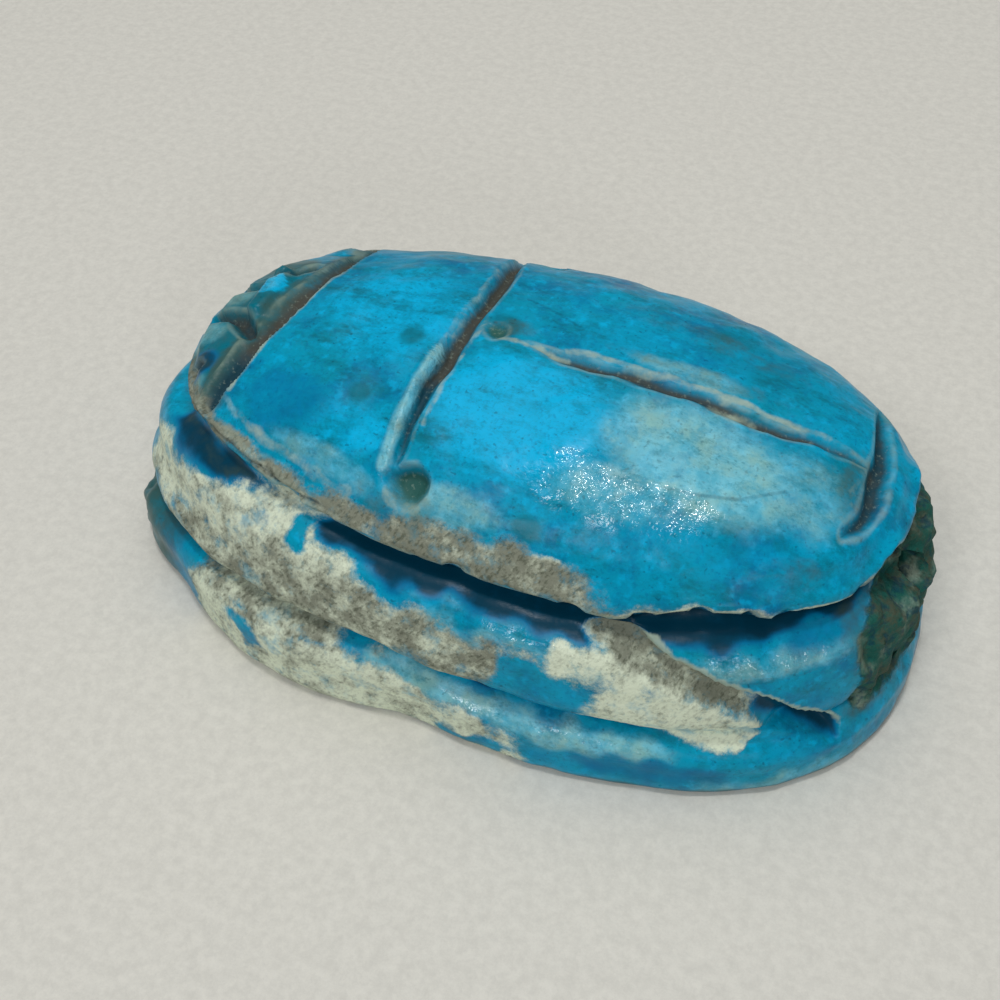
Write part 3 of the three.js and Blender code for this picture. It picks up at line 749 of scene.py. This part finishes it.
def carved_scarab():
    """Vertices in millimetres, faces and shares of the finished carving.

    Strokes sink along the normals on the back and level with the ground on the flanks, so the overhangs of
    the grooves don't fold.
    """
    vertices, cap_faces, skirt_faces, fan, where = blank()
    quads = np.concatenate([cap_faces, skirt_faces])
    normal = normals(vertices, quads, fan)
    sunk, cut, earth = carve(vertices, where)
    shares = finish_of(vertices, sunk, cut, earth, where)
    outward = vertices / (HALF_LENGTH**2, HALF_WIDTH**2, np.inf)
    outward /= np.maximum(np.linalg.norm(outward, axis=1, keepdims=True), 1e-9)
    on_flank = (where["tier"] < TIER["rim_foot"])[:, None]
    inward = np.where(on_flank, outward, normal) * sunk[:, None]
    vertices = vertices + normal * hills(vertices, where)[:, None] - inward
    vertices[:, 2] = np.clip(vertices[:, 2], 0, None)
    return vertices, quads, fan, shares


def mesh_of(name, vertices, quads, fan, shares):
    """A mesh in metres with one float per point for each share."""
    mesh = bpy.data.meshes.new(name)
    mesh.from_pydata((vertices / MM).tolist(), [], quads.tolist() + fan.tolist())
    for share, values in shares.items():
        mesh.attributes.new(share, "FLOAT", "POINT").data.foreach_set("value", values.astype(np.float32))
    mesh.shade_smooth()
    return mesh


# The hole's wall has the same crust as the tail
BORE_SHARES = {"crust": 1.0, "crack": FAR_AWAY, "cut": FAR_AWAY, "edge": FAR_AWAY}
BORE_CLOSE = 0.01  # millimetres from the wall of the hole


def drilled(piece):
    """Cuts the cord hole through a piece from head to tail, and keeps the piece's shares."""
    angle = np.linspace(0, 2 * np.pi, BORE_SIDES, endpoint=False)
    ring = np.stack([0 * angle, BORE_RADIUS * np.cos(angle), BORE_Z + BORE_RADIUS * np.sin(angle)], axis=1)
    ends = np.concatenate([ring - (LENGTH, 0, 0), ring + (LENGTH, 0, 0)]) / MM
    this = np.arange(BORE_SIDES)
    after = np.roll(this, -1)
    walls = np.stack([this, after, after + BORE_SIDES, this + BORE_SIDES], axis=1).tolist()
    mesh = bpy.data.meshes.new("drill")
    mesh.from_pydata(ends.tolist(), [], walls + [this[::-1].tolist(), (this + BORE_SIDES).tolist()])
    drill = bpy.data.objects.new("drill", mesh)
    bpy.context.collection.objects.link(drill)
    cutter = piece.modifiers.new("cord hole", "BOOLEAN")
    cutter.operation = "DIFFERENCE"
    cutter.object = drill
    cutter.solver = "EXACT"
    graph = bpy.context.evaluated_depsgraph_get()
    evaluated = piece.evaluated_get(graph)
    cut = bpy.data.meshes.new_from_object(evaluated, preserve_all_data_layers=True, depsgraph=graph)
    piece.modifiers.clear()
    piece.data = cut
    spots = np.empty(3 * len(cut.vertices), np.float32)
    cut.vertices.foreach_get("co", spots)
    _, y, z = spots.reshape(-1, 3).T * MM
    on_wall = np.abs(np.hypot(y, z - BORE_Z) - BORE_RADIUS) < BORE_CLOSE
    for share in [each.name for each in cut.attributes if each.data_type == "FLOAT"]:
        values = np.empty(len(cut.vertices), np.float32)
        cut.attributes[share].data.foreach_get("value", values)
        values[on_wall] = BORE_SHARES.get(share, 0.0)
        cut.attributes[share].data.foreach_set("value", values)
    bpy.data.objects.remove(drill)


# Materials

SHARES = (
    "bare", "brown", "pale", "deep", "green", "sparkle", "worn", "crack", "earth", "bright", "soil_and_shade", "dirt",
    "crust", "cut", "edge",
)
# Noise in glaze and stone: size of its blobs in millimetres, detail, roughness, stretch and offset
EVEN = (1, 1, 1)
SPECKLES = {
    "large": (5.0, 3, 0.55, EVEN, 0),
    "medium": (1.7, 4, 0.55, EVEN, 0),
    "small": (0.6, 4, 0.55, EVEN, 0),
    "fine": (0.22, 3, 0.55, EVEN, 0),
    "cloud": (3.2, 6, 0.7, EVEN, 23),
    "film": (2.2, 6, 0.75, (0.6, 1.2, 1.2), 29),
    "shade": (1.1, 8, 0.85, (0.8, 1.3, 1.3), 53),
    "gap": (0.9, 5, 0.7, EVEN, 61),
    "dots": (0.2, 0, 0.5, EVEN, 31),
    "speck": (0.22, 1, 0.5, EVEN, 11),
    "flakes": (0.9, 6, 0.75, EVEN, 41),
    "grain": (1.3, 5, 0.7, EVEN, 3),
    "remains": (2.0, 4, 0.65, EVEN, 5),
    "scab": (1.1, 6, 0.75, EVEN, 37),
    "boil": (0.75, 3, 0.6, EVEN, 19),
}
HATCH = (0.3, 2, 0.6, (1.7, 1.0, 0.8), 7)
HATCH_SLANT = math.radians(38)  # of the tool marks against upright
FLAKING, GRAINING = 2.2, 2.4  # how far flakes shift the edge of the bare stone, and its grain the tint
# Masks: the noise or share that each is read from, how far that is frayed, and where it starts and is full
MASKS = {
    "cyan": ("large", 0, 0.3, 0.7),
    "bright": ("bright", 1.6, 0.1, 1.1),
    "not bright": ("bright", 0, 1.1, 0.0),
    "cloud": ("cloud", 0, 0.44, 0.74),
    "film": ("film", 0, 0.47, 0.74),
    "spots": ("small", 0, 0.5, 0.7),
    "grit": ("fine", 0, 0.53, 0.72),
    "green": ("green", 1.5, 0.2, 1.1),
    "dots": ("dots", 0, 0.74, 0.84),
    "speck": ("speck", 0, 0.6, 0.75),
    "patchy": ("medium", 0, 0.35, 0.65),
    "pale": ("pale", 1.3, 0.1, 1.15),
    "pale at all": ("pale", 0, 0.0, 0.2),
    "gap": ("gap", 0, 0.42, 0.66),
    "shade": ("shade", 0, 0.46, 0.72),
    "deep": ("deep", 0.8, 0.12, 0.85),
    "night": ("deep", 0.5, 0.6, 1.0),
    "soil_and_shade": ("soil_and_shade", 2.4, 0.2, 1.2),
    "soil at all": ("soil_and_shade", 0, 0.0, 0.2),
    "crack": ("crack", 0, 0.14, 0.02),
    "bare": ("torn", 0, 0.14 + FLAKING / 2, 0.92 + FLAKING / 2),
    "bare at all": ("bare", 0, 0.02, 0.3),
    "brown": ("tint", 0, 0.05 + GRAINING / 2, 0.95 + GRAINING / 2),
    "brown marks": ("tint", 0, 0.1 + GRAINING / 2, 0.9 + GRAINING / 2),
    "hatch": ("hatch", 0, 0.46, 0.7),
    "remains": ("remains", 0, 0.54, 0.7),
    "sunk": ("cut", -0.35, 0.0, -0.4),
    "earth": ("earth", 1.4, 0.2, 0.9),
    "pit": ("earth", 0, 0.0, -0.3),
    "pale grit": ("fine", 0, 0.55, 0.75),
    "carved edge": ("edge", 0.5, 0.2, 0.06),
    "rubbed": ("worn", 1.2, 0.3, 0.8),
    "crust": ("crust", 1.0, 0.35, 0.65),
    "brown scab": ("scab", 0, 0.4, 0.66),
    "pale scab": ("medium", 0, 0.52, 0.74),
    "dark scab": ("small", 0, 0.5, 0.35),
    "boiled": ("fray", 0, -0.06, 0.1),
}
# Masks that show only where a second one does
KEPT_TO = [
    ("bare", "bare at all"), ("pale", "pale at all"), ("soil_and_shade", "soil at all"), ("cloud", "not bright"),
]
# Layers of the glaze, each over the last: mask, colour and how much of it
GLAZE_LAYERS = [
    ("cyan", "cyan", 1.0),
    ("bright", "bright_blue", 1.0),
    ("cloud", "deep_blue", 1.0),
    ("film", "sea_green", 0.85),
    ("spots", "bright_blue", 0.5),
    ("grit", "deep_blue", 0.4),
    ("green", "sea_green", 0.85),
    ("dots", "night_blue", 0.45),
    # Pale wash: thin worn glaze, and painted highlights on the tops of the legs, the ledge, the lit edge and
    # the boss, and a painted sheen on the wing case's shoulder
    ("pale", "pale_wash_and_highlight", 0.75),
    ("shade", "sea_green", 0.6),
    # Deep and night blue: thicker and pooled glaze, and painted shade in the grooves under the wing cases and
    # over the base and in the hind leg's pit
    ("deep", "deep_blue", 1.0),
    ("night", "night_blue", 1.0),
    # Soil colour: a film of soil on the glaze, and painted shade along the foot of the base and under the
    # cheek
    ("soil_and_shade", "soil_and_shade", 0.7),
    ("crack", "night_blue", 0.35),
]
STONE_LAYERS = [
    ("brown", "brown", 1.0),
    ("scored", "tool_mark", 1.0),
    ("speck", "tool_mark", 0.3),
    ("remains", "glaze", 0.5),
]
FLOOR_LAYERS = [
    ("earth", "groove_brown", 1.0),
    ("pit", "pit_green", 1.0),
    ("pale grit", "edge_beige", 0.3),
]
CRUST_LAYERS = [
    ("brown scab", "crust_brown", 1.0),
    ("pale scab", "edge_beige", 0.5),
    ("dark scab", "night_blue", 0.6),
]


def linear(code):
    """sRGB hex to linear colour: c/12.92 up to 0.04045, and ((c + 0.055) / 1.055)^2.4 above."""
    parts = [int(code[i : i + 2], 16) / 255 for i in (1, 3, 5)]
    return [c / 12.92 if c <= 0.04045 else ((c + 0.055) / 1.055) ** 2.4 for c in parts]


def node(tree, kind, *inputs, at=None, out=0, **settings):
    """Adds a shader node and gives one of its outputs, if it has any.

    Its inputs come in order, by their number in at, or by name with a capital. Each is a number, a colour or
    another node's output. Names without a capital are the node's own properties.
    """
    new = tree.nodes.new("ShaderNode" + kind)
    for key, value in settings.items():
        if key[0].islower():
            setattr(new, key, value)
    named = {key.replace("_", " "): value for key, value in settings.items() if key[0].isupper()}
    for key, value in [*enumerate(inputs), *(at or {}).items(), *named.items()]:
        if isinstance(value, bpy.types.NodeSocket):
            tree.links.new(value, new.inputs[key])
        else:
            new.inputs[key].default_value = value
    return new.outputs[out] if new.outputs else None


def new_material(name):
    """A bare material, what adds nodes to it, and its object coordinates in millimetres."""
    material = bpy.data.materials.new(name)
    material.use_nodes = True
    material.node_tree.nodes.clear()
    add = partial(node, material.node_tree)
    place = add("VectorMath", add("TexCoord", out="Object"), operation="SCALE", Scale=MM)
    return material, add, place


def speckle(add, place, size, detail, roughness, stretch, offset):
    """Noise whose blobs are about size millimetres, stretched and moved."""
    placed = add("Mapping", Vector=place, Scale=stretch, Location=(offset,) * 3)
    return add("TexNoise", Vector=placed, Scale=1 / size, Detail=detail, Roughness=roughness, out="Fac")


def lay(add, under, layers, ink, masks):
    """Lays each layer over the colours under it: mask times amount of its colour, and the rest of theirs."""
    for mask, colour, amount in layers:
        share = add("Math", masks[mask], amount, operation="MULTIPLY")
        under = add("Mix", share, at={6: under, 7: ink[colour]}, data_type="RGBA", out=2)
    return under


def glaze_masks(add, place):
    """What the glaze reads, and the masks made from it.

    Fray is the mean of medium and small noise about nought. A mask is a smoothstep of what it reads plus
    fray times its own amount, and falls where its start is above its end.
    """
    read = {name: speckle(add, place, *values) for name, values in SPECKLES.items()}
    for share in SHARES:
        read[share] = add("Attribute", attribute_name=share, out="Fac")
    slant = add("VectorRotate", Vector=place, Angle=HATCH_SLANT, rotation_type="Y_AXIS")
    read["hatch"] = speckle(add, slant, *HATCH)
    both = add("Math", read["medium"], read["small"], operation="ADD")
    fray = read["fray"] = add("Math", both, 0.5, -0.5, operation="MULTIPLY_ADD")
    read["torn"] = add("Math", read["flakes"], FLAKING, read["bare"], operation="MULTIPLY_ADD")
    read["tint"] = add("Math", read["grain"], GRAINING, read["brown"], operation="MULTIPLY_ADD")
    masks = {}
    for name, (source, fraying, start, full) in MASKS.items():
        value = read[source]
        if fraying:
            value = add("Math", fray, fraying, value, operation="MULTIPLY_ADD")
        ends = (start, full, 0.0, 1.0) if start < full else (full, start, 1.0, 0.0)
        masks[name] = add("MapRange", value, *ends, interpolation_type="SMOOTHSTEP")
    for name, limit in KEPT_TO:
        masks[name] = add("Math", masks[name], masks[limit], operation="MULTIPLY")
    kept = add("Math", masks["gap"], -0.45, 1.0, operation="MULTIPLY_ADD")
    masks["pale"] = add("Math", masks["pale"], kept, operation="MULTIPLY")
    marks = add("Math", masks["brown marks"], 0.55, 0.2, operation="MULTIPLY_ADD")
    masks["scored"] = add("Math", masks["hatch"], marks, operation="MULTIPLY")
    # The floor colour fills a stroke from its edge inward: earth and pooled glaze, and painted shade in the
    # recess
    masks["dirt"] = add("Math", masks["sunk"], read["dirt"], operation="MULTIPLY")
    return read, masks


def worn_edges(add, read, masks):
    """Where edges are rubbed to beige: along the strokes, along the flank's edges and on the worn lines."""
    level = add("Math", read["fray"], 0.3, read["cut"], operation="MULTIPLY_ADD")
    off_edge = add("Math", add("Math", level, 0.04, operation="SUBTRACT"), operation="ABSOLUTE")
    line = add("MapRange", off_edge, 0.02, 0.2, 1.0, 0.0, interpolation_type="SMOOTHSTEP")
    for other in (masks["patchy"], read["dirt"], 0.35):
        line = add("Math", line, other, operation="MULTIPLY")
    for mask, amount in (("carved edge", 0.5), ("rubbed", 0.85)):
        share = add("Math", masks[mask], amount, operation="MULTIPLY")
        line = add("Math", line, share, operation="MAXIMUM")
    return line


def glazed_steatite(colours):
    """Steatite under a fired alkaline copper glaze.

    The glaze pooled deep blue in the grooves and is thin, pale and glossy on the high places. Its deep
    colours in the grooves and strokes, and the soil colour at the foot of the base and under the cheek, also
    paint shade, and its pale colour on the tops of the legs, the ledge, the lit edge, the boss and the wing
    case's shoulder also paints highlights. Where hands and sand wore it off, the stone shows cream to brown
    with a hatch of tool marks, and every carved edge has a thin beige line. Where it boiled in the kiln, its
    pits sparkle.
    """
    material, add, place = new_material("worn copper-blue glaze on steatite")
    ink = {name: (*getattr(colours, name), 1.0) for name in ScarabColours.__annotations__}
    read, masks = glaze_masks(add, place)
    masks["worn"] = worn_edges(add, read, masks)
    washes = [("patchy", "pale_stone", 1.0), ("speck", "tool_mark", 0.4)]
    ink["pale_wash_and_highlight"] = lay(add, ink["pale_glaze"], washes, ink, masks)
    ink["glaze"] = lay(add, ink["turquoise"], GLAZE_LAYERS, ink, masks)
    ink["stone"] = lay(add, ink["cream"], STONE_LAYERS, ink, masks)
    # The floor of a stroke: dark for pooled glaze and painted shade in the recess, with earth, the green of
    # pits and grit laid over it
    ink["floor"] = lay(add, ink["groove_dark"], FLOOR_LAYERS, ink, masks)
    ink["scab"] = lay(add, ink["crust_green"], CRUST_LAYERS, ink, masks)
    # Inside the strokes the floor colour stands for earth and pooled glaze, and for painted shade in the
    # recess
    shown = [("bare", "stone"), ("dirt", "floor"), ("worn", "edge_beige"), ("crust", "scab")]
    colour = lay(add, ink["glaze"], [(*layer, 1.0) for layer in shown], ink, masks)

    dull = masks["bare"]
    for mask, amount in (("crust", 1.0), ("worn", 0.7), ("dirt", 0.6)):
        share = add("Math", masks[mask], amount, operation="MULTIPLY")
        dull = add("Math", dull, share, operation="MAXIMUM")
    glitter = add("Math", read["sparkle"], masks["boiled"], operation="MULTIPLY", use_clamp=True)
    roughness = add("Math", read["medium"], 0.12, 0.24, operation="MULTIPLY_ADD")
    roughness = add("Math", read["sparkle"], -0.18, roughness, operation="MULTIPLY_ADD")
    roughness = add("Math", dull, 0.36, roughness, operation="MULTIPLY_ADD", use_clamp=True)

    pits = add("Math", masks["pale"], 0.25, operation="MULTIPLY")
    pits = add("Math", add("Math", dull, 0.8, operation="MULTIPLY"), pits, operation="MAXIMUM")
    pits = add("Math", pits, 0.15, operation="ADD")
    height = add("Math", read["small"], 0.02, operation="MULTIPLY")
    # Depth in millimetres of the fine pits, the boiled glaze, the lumps of the crust and the tool marks
    for where, texture, depth in (
        (pits, read["fine"], 0.05), (read["sparkle"], read["boil"], 0.22),
        (masks["crust"], read["small"], 0.3), (masks["bare"], read["hatch"], 0.04),
    ):
        relief = add("Math", where, texture, operation="MULTIPLY")
        height = add("Math", relief, depth, height, operation="MULTIPLY_ADD")
    bump = add("Bump", Height=height, Distance=1 / MM, Strength=1.0)
    skin = add("BsdfPrincipled", Base_Color=colour, Roughness=roughness, Normal=bump, IOR=1.5,
               Specular_IOR_Level=0.12, Coat_Weight=glitter, Coat_Roughness=0.1, Coat_IOR=1.7,
               Coat_Normal=bump)
    add("OutputMaterial", Surface=skin)
    return material


def studio_board(colour):
    """Matt pale board with a faint fibre of 0.7 mm, for the floor."""
    material, add, place = new_material("matt pale board")
    noise = speckle(add, place, 0.7, 6, 0.8, EVEN, 0)
    fibre = add("MapRange", noise, 0.3, 0.7, interpolation_type="SMOOTHSTEP")
    light, dark = ((*(channel * shade for channel in colour), 1.0) for shade in (1.05, 0.9))
    tone = add("Mix", fibre, at={6: light, 7: dark}, data_type="RGBA", out=2)
    skin = add("BsdfPrincipled", Base_Color=tone, Roughness=0.85)
    add("OutputMaterial", Surface=skin)
    return material


# Stage

PIVOT_Z = 5.625  # the camera looks at a point this high over the middle of the underside
CAMERA_AZIMUTH = 204.94
CAMERA_ELEVATION = 46.85
CAMERA_ROLL = -2.04
CAMERA_DISTANCE = 75.13
FOCAL_PIXELS = 1369.4
PIVOT_PIXEL = (516.45, 478.17)
IMAGE_PIXELS = 1000
SENSOR_MM = 36.0
WARM, COOL = (1.0, 0.99, 0.97), (0.97, 0.98, 1.0)
# Soft boxes: name, side in metres, power in watts, place in metres and colour
LIGHTS = [
    ("overhead", 0.4, 0.65, (0.03, -0.12, 0.45), WARM),
    ("spark", 0.05, 0.65, (0.0, 0.0, 0.55), WARM),
    ("window", 0.13, 0.65, (0.05, 0.33, 0.39), COOL),
    ("tail window", 0.075, 0.24, (-0.30, 0.38, 0.22), COOL),
]
WORLD_COLOUR, WORLD_STRENGTH = (0.95, 0.97, 1.0, 1.0), 0.18


def aim(camera):
    """Places the camera on a sphere round its pivot, then rolls it."""
    azimuth, elevation, roll = (math.radians(a) for a in (CAMERA_AZIMUTH, CAMERA_ELEVATION, CAMERA_ROLL))
    level = math.cos(elevation)
    back = Vector((math.sin(azimuth) * level, -math.cos(azimuth) * level, math.sin(elevation)))
    right = Vector((math.cos(azimuth), math.sin(azimuth), 0))
    up = right.cross(-back)
    across = right * math.cos(roll) + up * math.sin(roll)
    upward = up * math.cos(roll) - right * math.sin(roll)
    place = (Vector((0, 0, PIVOT_Z)) + back * CAMERA_DISTANCE) / MM
    turn = Matrix((across, upward, back)).transposed().to_4x4()
    camera.matrix_world = Matrix.Translation(place) @ turn


def add_light(name, size, power, place, colour):
    """A square soft box that faces the middle of the object."""
    data = bpy.data.lights.new(name, "AREA")
    data.size = size
    data.energy = power
    data.color = colour
    light = bpy.data.objects.new(name, data)
    light.location = place
    light.rotation_euler = (-Vector(place)).to_track_quat("-Z", "Y").to_euler()
    bpy.context.collection.objects.link(light)


class ScarabSizes(bpy.types.PropertyGroup):
    """Sizes of the carving and its stage."""

    length: FloatProperty(name="Length", description="From head to tail", default=LENGTH / MM, unit="LENGTH")
    floor: FloatProperty(name="Floor", description="Side of the floor", default=1.2, unit="LENGTH")


def hue(label, description, code):
    """A colour that the panel shows, from its sRGB hex."""
    return FloatVectorProperty(
        name=label, description=description, default=linear(code), subtype="COLOR", size=3, min=0, max=1
    )


class ScarabColours(bpy.types.PropertyGroup):
    """Colours of glaze, stone and floor."""

    cyan: hue("Cyan", "Glaze on the back", "#00A0C8")
    turquoise: hue("Turquoise", "Greener stretches of the glaze", "#0099B8")
    bright_blue: hue("Bright blue", "Clear spots in the glaze", "#00BAEC")
    sea_green: hue("Sea green", "Green spots in the glaze", "#056874")
    # Deep blue and night blue are thicker and pooled glaze; in the grooves under the wing cases and over the
    # base and in the hind leg's pit they also paint shade
    deep_blue: hue("Deep blue", "Thicker glaze", "#006E9E")
    night_blue: hue("Night blue", "Glaze pooled in grooves", "#033C52")
    # Pale glaze is thin worn glaze; on the tops of the legs, the ledge, the lit edge and the boss it also
    # paints highlights, and on the wing case's shoulder a sheen
    pale_glaze: hue("Pale glaze", "Thin worn glaze", "#8ADAEA")
    pale_stone: hue("Pale stone", "Stone that shows through thin glaze", "#9CCDC2")
    cream: hue("Cream", "Clean bare stone", "#E2ECD4")
    brown: hue("Brown", "Handled bare stone", "#868A7A")
    tool_mark: hue("Tool mark", "Dirt in the hatch of the bare stone", "#545A4A")
    # Soil is a film of soil on the glaze; along the foot of the base and under the cheek it also paints shade
    soil_and_shade: hue("Soil", "Film of soil on the glaze", "#465747")
    edge_beige: hue("Edge beige", "Worn line along an edge", "#ACBEAC")
    # Groove dark is partly glaze pooled in a stroke and partly painted shade in its recess
    groove_dark: hue("Groove dark", "Floor of a stroke", "#17414F")
    groove_brown: hue("Groove brown", "Earth in a stroke", "#4A4B44")
    pit_green: hue("Pit green", "Floor of a drilled pit", "#31625B")
    crust_green: hue("Crust green", "Crust at the tail", "#1D5C52")
    crust_brown: hue("Crust brown", "Earth in the crust", "#4C5444")
    board: hue("Board", "Floor", "#DEDCD3")


class SCARAB_OT_carve(bpy.types.Operator):
    """Carve and glaze the scarab"""

    bl_idname = "scarab.carve"
    bl_label = "Carve scarab"

    def execute(self, context):
        vertices, quads, fan, shares = carved_scarab()
        scale = context.scene.scarab_sizes.length * MM / LENGTH
        mesh = mesh_of("carved_scarab", vertices * scale, quads, fan, shares)
        piece = bpy.data.objects.new("carved_scarab", mesh)
        context.collection.objects.link(piece)
        drilled(piece)
        piece.data.materials.clear()
        piece.data.materials.append(glazed_steatite(context.scene.scarab_colours))
        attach(piece, "root")
        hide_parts("scarab")
        return {"FINISHED"}


class SCARAB_OT_set_stage(bpy.types.Operator):
    """Lay the floor and set lights and camera"""

    bl_idname = "scarab.set_stage"
    bl_label = "Set stage"

    def execute(self, context):
        half = context.scene.scarab_sizes.floor / 2
        mesh = bpy.data.meshes.new("floor")
        corners = [(-half, -half, 0), (half, -half, 0), (half, half, 0), (-half, half, 0)]
        mesh.from_pydata(corners, [], [(0, 1, 2, 3)])
        mesh.materials.append(studio_board(context.scene.scarab_colours.board))
        floor = bpy.data.objects.new("floor", mesh)
        context.collection.objects.link(floor)
        for light in LIGHTS:
            add_light(*light)
        world = bpy.data.worlds.new("studio")
        world.use_nodes = True
        background = world.node_tree.nodes["Background"]
        background.inputs["Color"].default_value = WORLD_COLOUR
        background.inputs["Strength"].default_value = WORLD_STRENGTH
        context.scene.world = world
        context.scene.view_settings.view_transform = "Standard"
        data = bpy.data.cameras.new("camera")
        data.sensor_width = SENSOR_MM
        data.lens = FOCAL_PIXELS / IMAGE_PIXELS * SENSOR_MM
        data.shift_x = 0.5 - PIVOT_PIXEL[0] / IMAGE_PIXELS
        data.shift_y = PIVOT_PIXEL[1] / IMAGE_PIXELS - 0.5
        data.clip_start = 0.005
        camera = bpy.data.objects.new("camera", data)
        context.collection.objects.link(camera)
        aim(camera)
        context.scene.camera = camera
        return {"FINISHED"}


class SCARAB_PT_panel(bpy.types.Panel):
    """Lists the sizes, the colours and the steps"""

    bl_idname = "SCARAB_PT_panel"
    bl_label = "Scarab amulet"
    bl_space_type = "VIEW_3D"
    bl_region_type = "UI"
    bl_category = "Scarab"

    def draw(self, context):
        for group in (context.scene.scarab_sizes, context.scene.scarab_colours):
            for name in group.__annotations__:
                self.layout.prop(group, name)
        for operator in (SCARAB_OT_carve, SCARAB_OT_set_stage):
            self.layout.operator(operator.bl_idname)


CLASSES = (ScarabSizes, ScarabColours, SCARAB_OT_carve, SCARAB_OT_set_stage, SCARAB_PT_panel)


def register():
    for made in CLASSES:
        bpy.utils.register_class(made)
    bpy.types.Scene.scarab_sizes = PointerProperty(type=ScarabSizes)
    bpy.types.Scene.scarab_colours = PointerProperty(type=ScarabColours)


def unregister():
    del bpy.types.Scene.scarab_colours
    del bpy.types.Scene.scarab_sizes
    for made in reversed(CLASSES):
        bpy.utils.unregister_class(made)


def main():
    register()
    bpy.ops.scarab.carve()
    bpy.ops.scarab.set_stage()


if __name__ == "__main__":
    main()
